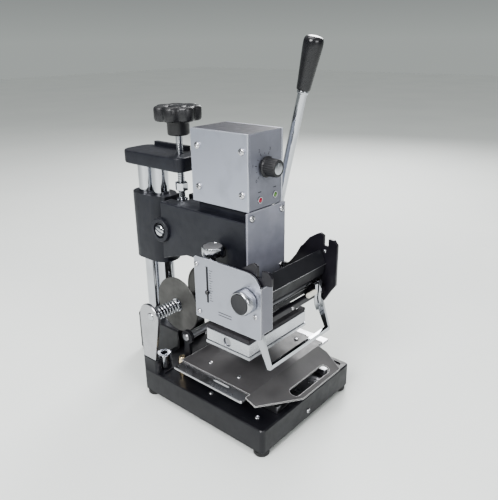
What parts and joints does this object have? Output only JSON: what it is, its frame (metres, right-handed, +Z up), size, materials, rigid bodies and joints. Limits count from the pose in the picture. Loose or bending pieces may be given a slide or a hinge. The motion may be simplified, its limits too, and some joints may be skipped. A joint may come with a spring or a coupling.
{
  "type": "hot foil stamper",
  "caption": "Bench-top hot foil stamper: hand lever with rack and pinion, heated die block, foil feed unit, control box, twin-column head lift and sliding card table",
  "frame": {"origin": "centre of the footprint's bounding box, on the floor under the rubber feet", "axes": "+X to the operator's right, -Y towards the operator, +Z up"},
  "size_m": [0.16, 0.2726, 0.3935],
  "materials": {
    "black_casting": "black hammered paint on a casting, slightly blue",
    "black_sheet": "satin black paint on sheet",
    "black_plastic": "moulded black plastic, semi-gloss",
    "rubber": "black moulded rubber",
    "chrome": "bright plated steel",
    "steel": "machined steel",
    "zinc_sheet": "zinc-plated steel plate",
    "silver_panel": "silver satin panel",
    "grey_panel": "mid-grey satin paint",
    "aluminium": "milled aluminium",
    "table_grey": "dark grey coated sheet",
    "insulation": "dark heat-insulating board",
    "disc_grey": "matt grey-brown plastic",
    "brass": "turned brass",
    "board_green": "green circuit board",
    "lens_red": "clear red lamp",
    "lens_green": "clear green lamp"
  },
  "bodies": {
    "frame": {"base_tray": "black_casting", "foot_front_left": "rubber", "foot_front_right": "rubber", "foot_rear_left": "rubber", "foot_rear_right": "rubber", "column_foot": "black_casting", "column_front": "chrome", "column_rear": "chrome", "top_yoke": "black_casting", "spool_bracket_left": "zinc_sheet", "spool_bracket_right": "zinc_sheet", "spool_spring": "chrome", "slide_rails": "steel", "rear_guide_rod": "steel", "stop_pillar": "brass", "stop_clamp": "chrome"},
    "head": {"head_casting": "black_casting", "front_cover": "grey_panel", "control_box_shell": "grey_panel", "box_cover_left": "silver_panel", "box_cover_right": "silver_panel", "controller_board": "board_green", "led_red": "lens_red", "led_green": "lens_green", "cord_gland": "black_plastic", "switch_housing": "black_plastic", "swivel_nut": "chrome", "return_spring_left": "steel", "return_spring_right": "steel", "foil_bridge": "black_sheet", "side_plate_left": "black_sheet", "side_plate_right": "black_sheet", "guide_plate": "silver_panel", "front_apron": "black_sheet", "tension_bar": "black_sheet"},
    "lift_screw": {"lift_screw": "chrome", "star_knob": "black_plastic", "lock_nut": "chrome"},
    "lever": {"lever_shaft": "steel", "drive_pinion": "steel", "lever_arm": "chrome", "lever_grip": "black_plastic"},
    "ram": {"ram_rack": "steel", "insulation_board": "insulation", "heater_block": "aluminium", "cartridge_heater": "steel", "die_plate": "aluminium"},
    "feed": {"feed_roller": "rubber", "feed_knob": "chrome"},
    "nip": {"nip_roller": "chrome"},
    "bail": {"foil_bail": "chrome"},
    "release": {"release_knob": "chrome"},
    "slider": {"feed_slider": "black_plastic"},
    "dial": {"dial_knob": "black_plastic"},
    "rocker": {"switch_rocker": "black_plastic"},
    "spool": {"spool_shaft": "chrome", "foil_spool": "disc_grey"},
    "carriage": {"carriage_block": "aluminium", "carriage_plate": "zinc_sheet", "work_table": "table_grey"}
  },
  "joints": [
    {"name": "head_lift", "type": "slide", "parent": "frame", "child": "head", "axis": [0, 0, 1], "range_m": [0, 0.014]},
    {"name": "screw_turn", "type": "hinge", "parent": "head", "child": "lift_screw", "pos_m": [0, 0.05675, 0.221], "axis": [0, 0, 1], "range_deg": [0, 2520]},
    {"name": "lever_pull", "type": "hinge", "parent": "head", "child": "lever", "pos_m": [0, -0.03325, 0.184], "axis": [1, 0, 0], "range_deg": [0, 60], "stiffness_Nm_per_rad": 0.4, "springref_deg": -85.94},
    {"name": "ram_press", "type": "slide", "parent": "head", "child": "ram", "axis": [0, 0, -1], "range_m": [0, 0.02095], "deforming": ["return_spring_left", "return_spring_right"]},
    {"name": "feed_turn", "type": "hinge", "parent": "head", "child": "feed", "pos_m": [0, -0.09325, 0.158], "axis": [1, 0, 0], "continuous": true},
    {"name": "nip_turn", "type": "hinge", "parent": "head", "child": "nip", "pos_m": [0, -0.09625, 0.1444], "axis": [1, 0, 0], "continuous": true},
    {"name": "bail_swing", "type": "hinge", "parent": "head", "child": "bail", "pos_m": [0, -0.10025, 0.122], "axis": [-1, 0, 0], "range_deg": [0, 50]},
    {"name": "release_turn", "type": "hinge", "parent": "head", "child": "release", "pos_m": [-0.044, -0.03325, 0.19], "axis": [0, 0, 1], "continuous": true},
    {"name": "slider_move", "type": "slide", "parent": "head", "child": "slider", "axis": [0, 0, 1], "range_m": [-0.008, 0.025]},
    {"name": "dial_turn", "type": "hinge", "parent": "head", "child": "dial", "pos_m": [-0.002, -0.06765, 0.2735], "axis": [0, -1, 0], "range_deg": [0, 270]},
    {"name": "rocker_press", "type": "hinge", "parent": "head", "child": "rocker", "pos_m": [0.0115, 0.00775, 0.2685], "axis": [1, 0, 0], "range_deg": [0, 14]},
    {"name": "spool_turn", "type": "hinge", "parent": "frame", "child": "spool", "pos_m": [0, 0.03175, 0.1055], "axis": [1, 0, 0], "continuous": true},
    {"name": "carriage_slide", "type": "slide", "parent": "frame", "child": "carriage", "axis": [0, -1, 0], "range_m": [0, 0.055]}
  ],
  "couplings": [
    {"joint": "ram_press", "follows": "lever_pull", "m_per_rad": 0.02},
    {"joint": "nip_turn", "follows": "feed_turn", "ratio": -1.4545},
    {"joint": "screw_turn", "follows": "head_lift", "rad_per_m": 3141.5}
  ]
}
